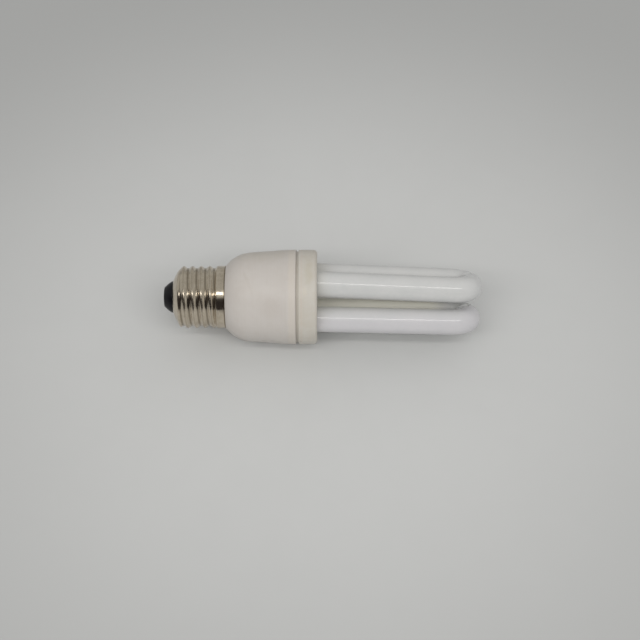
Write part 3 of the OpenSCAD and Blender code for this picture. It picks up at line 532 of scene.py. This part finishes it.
def shell_mesh(sizes):
    """Sheet of even thickness with a true helical thread, and a rolled edge at each end."""
    radius = shell_form(sizes)
    sheet = sizes.sheet / MM
    facets = sizes.facets
    foot_end = SHELL_START + sizes.foot / MM
    rim_start = SHELL_END - sizes.rim / MM
    outer = [SHELL_START + 0.04 + (foot_end - SHELL_START - 0.04) * (i / 26) ** 1.4 for i in range(26)]
    outer += [foot_end + (rim_start - foot_end) * i / 112 for i in range(113)]
    outer += [rim_start + (SHELL_END - 0.1 - rim_start) * i / 10 for i in range(1, 11)]
    inner = [SHELL_END - 0.1 - (SHELL_END - SHELL_START - 0.14) * i / 90 for i in range(91)]
    rows = [(SHELL_START, -0.5)] + [(a, 0.0) for a in outer]
    rows += [(SHELL_END - 0.03, -0.12), (SHELL_END, -0.5)]
    rows += [(SHELL_END - 0.03, -0.88)] + [(a, -1.0) for a in inner]
    points = []
    for along, depth in rows:
        for j in range(facets):
            turn = 2 * math.pi * j / facets
            r = radius(along, turn) + depth * sheet
            points.append((TIP_X + along * MM, r * MM * math.cos(turn), AXIS_Z + r * MM * math.sin(turn)))
    faces = []
    for i in range(len(rows)):
        k = (i + 1) % len(rows)
        for j in range(facets):
            n = (j + 1) % facets
            faces.append((i * facets + j, i * facets + n, k * facets + n, k * facets + j))
    mesh = bpy.data.meshes.new("rolled_screw_shell")
    mesh.from_pydata(points, [], faces)
    mesh.shade_smooth()
    mesh.update()
    return mesh


# Operators

class BULB_OT_screw_shell(Operator):
    """Make the rolled screw shell with its helical thread"""
    bl_idname = "bulb.screw_shell"
    bl_label = "Screw shell"

    def execute(self, context):
        sizes = context.scene.bulb_sizes
        colours = context.scene.bulb_colours
        piece = bpy.data.objects.new("rolled_screw_shell", shell_mesh(sizes))
        context.scene.collection.objects.link(piece)
        root = sizes.root_radius / MM
        crest = root + sizes.thread_depth / MM
        piece.data.materials.append(plated_sheet(colours.metal, colours.tarnish_and_shade, root, crest))
        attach(piece, "root")
        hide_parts("screw_shell")
        return {"FINISHED"}


class BULB_OT_cap_end(Operator):
    """Finish the insulator, the centre contact and its solder"""
    bl_idname = "bulb.cap_end"
    bl_label = "Insulator and contact"

    def execute(self, context):
        dress(["insulator"], black_glass(context.scene.bulb_colours.black))
        dress(["centre_contact"], plain_finish("Contact metal", shown(190, 180, 150), shown(140, 122, 86),
                                               1.5, (0.25, 0.45), 0.3, 1.0))
        dress(["contact_solder"], plain_finish("Dull solder", shown(150, 150, 150), shown(110, 108, 104),
                                               0.8, (0.35, 0.55), 0.2, 1.0))
        return {"FINISHED"}


class BULB_OT_housing(Operator):
    """Finish the housing and the tube cover"""
    bl_idname = "bulb.housing"
    bl_label = "Housing and cover"

    def execute(self, context):
        colours = context.scene.bulb_colours
        seam = (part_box("housing")[1][0] - TIP_X) / MM
        # The second colour is painted shade for the seam groove between housing and cover.
        cream, seam_shade, scuff = shown(208, 199, 186), shown(112, 98, 80), shown(132, 122, 114)
        housing_patches = [
            (cream, 0.4, 54.2, 130.0, 1.9, 400.0, 0.0),
            # Painted shade: a dark ring at the end of the housing, beside the seam groove.
            (seam_shade, 0.4, seam, 130.0, 0.4, 400.0, 0.0),
            (shown(178, 170, 160), 0.16, 36.0, 110.0, 0.9, 22.0, 0.116),
            (shown(180, 171, 163), 0.2, 46.0, 146.0, 6.5, 18.0, 0.0),
            (shown(186, 180, 164), 0.25, 42.0, 62.0, 14.0, 26.0, 0.0),
            (scuff, 0.5, 42.6, 204.0, 1.7, 1.3, 0.12),
            (scuff, 0.4, 46.0, 201.0, 1.2, 0.9, -0.2),
            (scuff, 0.5, 49.2, 204.5, 1.9, 1.1, 0.3),
            (shown(214, 210, 205), 0.5, 44.2, 205.5, 1.6, 0.8, -0.15),
            (shown(214, 210, 205), 0.5, 50.4, 202.5, 1.3, 0.7, 0.2),
        ]
        cover_patches = [
            # Painted shade: a fainter dark ring at the start of the cover, beside the seam groove.
            (seam_shade, 0.25, seam + 0.3, 130.0, 0.4, 400.0, 0.0),
            (shown(176, 168, 140), 0.2, 61.2, 100.0, 2.0, 22.0, 0.0),
            (shown(214, 203, 184), 0.2, 59.6, 124.0, 1.2, 8.0, 0.0),
            (shown(206, 184, 172), 0.15, 58.2, 150.0, 0.5, 400.0, 0.0),
            (shown(120, 78, 70), 0.5, 57.7, 199.0, 0.5, 1.3, 0.0),
        ]
        dress(["housing"], moulded_plastic("Housing plastic", colours.housing, shown(189, 182, 174),
                                           housing_patches, 1.0))
        dress(["tube_cover"], moulded_plastic("Cover plastic", colours.cover, shown(186, 176, 158),
                                              cover_patches, 11.0))
        return {"FINISHED"}


class BULB_OT_tube(Operator):
    """Finish the discharge tube, its cement and its wires"""
    bl_idname = "bulb.tube"
    bl_label = "Discharge tube"

    def execute(self, context):
        dress(["discharge_tube"], coated_glass(context.scene.bulb_colours.glass))
        dress(["cement_rings"], plain_finish("Tube cement", shown(214, 208, 194), shown(180, 172, 154),
                                             1.6, (0.75, 0.95), 0.25, strength=0.8))
        dress(["tube_leads"], plain_finish("Lamp wire", shown(176, 150, 128), shown(120, 104, 92),
                                           1.2, (0.3, 0.5), 0.2, 1.0))
        dress(["wrap_pins"], plain_finish("Tinned pins", shown(204, 204, 202), shown(166, 166, 164),
                                          1.2, (0.25, 0.4), 0.2, 1.0))
        return {"FINISHED"}


class BULB_OT_ballast(Operator):
    """Finish the circuit board and all that stands on it"""
    bl_idname = "bulb.ballast"
    bl_label = "Ballast"

    def execute(self, context):
        low, high = ((v[0] - TIP_X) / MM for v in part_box("rectifier_diodes"))
        dress(["circuit_board"], board_finish())
        dress(["solder_joints"], plain_finish("Bright solder", shown(206, 208, 210), shown(168, 168, 168),
                                              0.9, (0.18, 0.35), 0.25, 1.0))
        dress(["filter_capacitor"], capacitor_finish())
        dress(["choke_core", "feedback_ring"], plain_finish(
            "Ferrite", shown(66, 64, 66), shown(46, 44, 46), 1.2, (0.45, 0.65), 0.2, strength=0.6))
        dress(["choke_bobbin"], plain_finish("Bobbin nylon", shown(214, 208, 188), shown(190, 180, 150),
                                             3.0, (0.4, 0.55), 0.4))
        dress(["choke_winding"], wound_copper("Choke copper", 0.24, shown(196, 104, 52), shown(150, 70, 30)))
        dress(["feedback_windings"], wound_copper("Ring copper", 0.5, shown(204, 112, 60), shown(160, 80, 40)))
        dress(["transistors"], plain_finish("Black resin", shown(44, 44, 48), shown(30, 30, 33),
                                            0.8, (0.45, 0.6), 0.18, strength=0.6))
        silver = shown(196, 198, 200)
        dress(["rectifier_diodes"], banded_finish("Diode resin", shown(40, 40, 43), shown(28, 28, 30),
                                                  [(low + 1.6, low + 2.5, silver)], (0.35, 0.5)))
        dress(["clamp_diodes"], banded_finish("Clamp diode resin", shown(42, 42, 45), shown(30, 30, 32),
                                              [], (0.35, 0.5)))
        dress(["trigger_diac"], banded_finish("Trigger glass", shown(52, 92, 140), shown(40, 70, 112),
                                              [(low + 2.6, low + 3.1, shown(30, 30, 34))], (0.1, 0.2), 0.8))
        dress(["resonant_capacitor"], banded_finish("Brown dip", shown(124, 54, 40), shown(94, 38, 28),
                                                    [], (0.2, 0.32), 0.5))
        dress(["coupling_capacitor", "start_capacitor"], banded_finish(
            "Green dip", shown(56, 112, 70), shown(40, 86, 52), [], (0.2, 0.32), 0.5))
        rings = [(low + 2.2, low + 2.6, shown(120, 60, 30)), (low + 3.0, low + 3.4, shown(30, 28, 28)),
                 (low + 3.8, low + 4.2, shown(196, 60, 40)), (low + 5.0, low + 5.4, shown(190, 150, 60))]
        dress(["resistors"], banded_finish("Resistor coat", shown(206, 178, 134), shown(184, 152, 106),
                                           rings, (0.4, 0.55), 0.2))
        dress(["fuse_resistor"], banded_finish("Fuse coat", shown(140, 158, 144), shown(116, 132, 118),
                                               [], (0.5, 0.65)))
        dress(["fuse_sleeve"], braided_sleeve())
        dress(["live_lead", "neutral_lead"], plain_finish(
            "Tinned wire", shown(198, 196, 190), shown(156, 150, 138), 1.0, (0.22, 0.4), 0.2, 1.0))
        return {"FINISHED"}


def floor_finish(base):
    """Pale matt sheet with a faint cloud in its tone, and painted shade that darkens it away from the bulb."""
    made, tree, shader = new_finish("Studio floor", Specular_IOR_Level=0.1)
    tone = mottled(tree, base, tuple(0.96 * part for part in base[:3]) + (1.0,), 90.0, 0.5)
    far = put(tree, "VectorMath", {0: put(tree, "TexCoord").outputs["Object"]}, operation="LENGTH").outputs["Value"]
    # Painted shade: the floor darkens with distance from the bulb, standing in for the fall-off of the light.
    edge = tuple(0.72 * part for part in base[:3]) + (1.0,)
    tone = blend(tree, span(tree, far, 0.05, 0.26), tone.outputs["Colour"], edge)
    rough = span(tree, noise(tree, 20.0), 0.3, 0.7, 0.82, 0.95)
    wire_up(tree, shader, Base_Color=tone, Roughness=rough)
    return made


def flat_sheet(name, corners, material):
    """A flat sheet of the studio between four corners."""
    mesh = bpy.data.meshes.new(name)
    mesh.from_pydata(corners, [], [tuple(range(len(corners)))])
    mesh.materials.append(material)
    made = bpy.data.objects.new(name, mesh)
    bpy.context.scene.collection.objects.link(made)
    return made


def curved_cloth(name, turns, rises, far, material):
    """A cloth hung in an arc about the bulb, between two turns and two rises in degrees."""
    steps = 16
    points = []
    for i in range(steps + 1):
        turn = turns[0] + (turns[1] - turns[0]) * i / steps
        points += [tuple(toward(turn, rise, far)) for rise in rises]
    faces = [(2 * i, 2 * i + 2, 2 * i + 3, 2 * i + 1) for i in range(steps)]
    mesh = bpy.data.meshes.new(name)
    mesh.from_pydata(points, [], faces)
    mesh.materials.append(material)
    made = bpy.data.objects.new(name, mesh)
    bpy.context.scene.collection.objects.link(made)
    return made


def strip_light(name, place, aim, wide, high, power, tone):
    """A soft rectangular lamp."""
    lamp = bpy.data.lights.new(name, "AREA")
    lamp.shape = "RECTANGLE"
    lamp.size = wide
    lamp.size_y = high
    lamp.energy = power
    lamp.color = tone
    made = bpy.data.objects.new(name, lamp)
    made.location = place
    made.rotation_euler = (Vector(aim) - Vector(place)).to_track_quat("-Z", "Y").to_euler()
    bpy.context.scene.collection.objects.link(made)
    return made


def studio_air():
    """Soft light from a wide ring over the horizon, before a plain pale background."""
    world = bpy.data.worlds.new("Studio")
    world.use_nodes = True
    tree = world.node_tree
    tree.nodes.clear()
    rise = put(tree, "SeparateXYZ", {0: put(tree, "TexCoord").outputs["Generated"]}).outputs[2]
    low = span(tree, rise, 0.0, 0.3, 0.35, 1.0)
    ring = sums(tree, "MULTIPLY", low, span(tree, rise, 0.55, 0.95, 1.0, 0.7))
    tone = blend(tree, ring, (0.0, 0.0, 0.0, 1), (1.0, 0.995, 0.985, 1))
    light = put(tree, "Background", {"Color": tone, "Strength": 0.6})
    plain = put(tree, "Background", {"Color": shown(180, 180, 177), "Strength": 1.0})
    path = put(tree, "LightPath")
    seen = sums(tree, "MAXIMUM", path.outputs["Is Camera Ray"], path.outputs["Is Glossy Ray"])
    seen = sums(tree, "MAXIMUM", seen, path.outputs["Is Transmission Ray"])
    mixed = put(tree, "MixShader", {0: seen, 1: light.outputs[0], 2: plain.outputs[0]})
    out = put(tree, "OutputWorld")
    tree.links.new(mixed.outputs[0], out.inputs[0])
    return world


def toward(turn, rise, far):
    """A point at a turn and a rise, in degrees, seen from the bulb's middle."""
    turn, rise = math.radians(turn), math.radians(rise)
    return Vector((far * math.sin(turn) * math.cos(rise), -far * math.cos(turn) * math.cos(rise),
                   AXIS_Z + far * math.sin(rise)))


class BULB_OT_studio(Operator):
    """Set the floor, the lamps and the camera"""
    bl_idname = "bulb.studio"
    bl_label = "Studio"

    def execute(self, context):
        scene = context.scene
        colours = scene.bulb_colours
        flat_sheet("studio_floor", [(-6, -6, 0), (6, -6, 0), (6, 6, 0), (-6, 6, 0)],
                   floor_finish(colours.floor))
        made, tree, shader = new_finish("Black cloth", Roughness=0.9)
        weave = mottled(tree, shown(66, 58, 58), shown(50, 46, 46), 40.0, 0.5)
        wire_up(tree, shader, Base_Color=weave.outputs["Colour"])
        flag = curved_cloth("studio_flag", (-85, 58), (-2, 45), 2.6, made)
        flag.visible_camera = False
        flag.visible_diffuse = False
        flag.visible_shadow = False
        aim = (0.0, 0.0, AXIS_Z)
        strip_light("strip lamp", toward(0, 62, 2.0), aim, 3.0, 0.22, 9.6, (1.0, 0.985, 0.96))
        front = strip_light("front lamp", toward(0, 49, 2.0), aim, 4.0, 0.3, 20.0, (1.0, 0.99, 0.98))
        front.visible_glossy = False
        scene.world = studio_air()
        camera = bpy.data.cameras.new("camera")
        camera.lens = 78.75
        camera.sensor_width = 36.0
        camera.clip_start = 0.01
        seen = bpy.data.objects.new("camera", camera)
        scene.collection.objects.link(seen)
        rise = math.radians(50)
        up = Vector((0.0, math.sin(rise), math.cos(rise)))
        centre = Vector((-1.0 * MM, 0.0, AXIS_Z)) - up * 9.7 * MM
        seen.location = centre + Vector((0.0, -math.cos(rise), math.sin(rise))) * 0.59
        seen.rotation_euler = (math.radians(90) - rise, 0.0, 0.0)
        scene.camera = seen
        scene.view_settings.view_transform = "Standard"
        return {"FINISHED"}


class BULB_PT_panel(Panel):
    """Lists the bulb's operators, sizes and colours"""
    bl_idname = "BULB_PT_panel"
    bl_label = "Compact fluorescent bulb"
    bl_space_type = "VIEW_3D"
    bl_region_type = "UI"
    bl_category = "Bulb"

    def draw(self, context):
        for step in OPERATORS:
            self.layout.operator(step.bl_idname)
        for group in (context.scene.bulb_sizes, context.scene.bulb_colours):
            box = self.layout.box()
            for name in group.__annotations__:
                box.prop(group, name)


OPERATORS = (BULB_OT_screw_shell, BULB_OT_cap_end, BULB_OT_housing, BULB_OT_tube,
             BULB_OT_ballast, BULB_OT_studio)
CLASSES = (BulbSizes, BulbColours) + OPERATORS + (BULB_PT_panel,)


def register():
    for item in CLASSES:
        bpy.utils.register_class(item)
    bpy.types.Scene.bulb_sizes = PointerProperty(type=BulbSizes)
    bpy.types.Scene.bulb_colours = PointerProperty(type=BulbColours)


def unregister():
    del bpy.types.Scene.bulb_colours
    del bpy.types.Scene.bulb_sizes
    for item in reversed(CLASSES):
        bpy.utils.unregister_class(item)


def main():
    register()
    bpy.ops.bulb.screw_shell()
    bpy.ops.bulb.cap_end()
    bpy.ops.bulb.housing()
    bpy.ops.bulb.tube()
    bpy.ops.bulb.ballast()
    bpy.ops.bulb.studio()


if __name__ == "__main__":
    main()
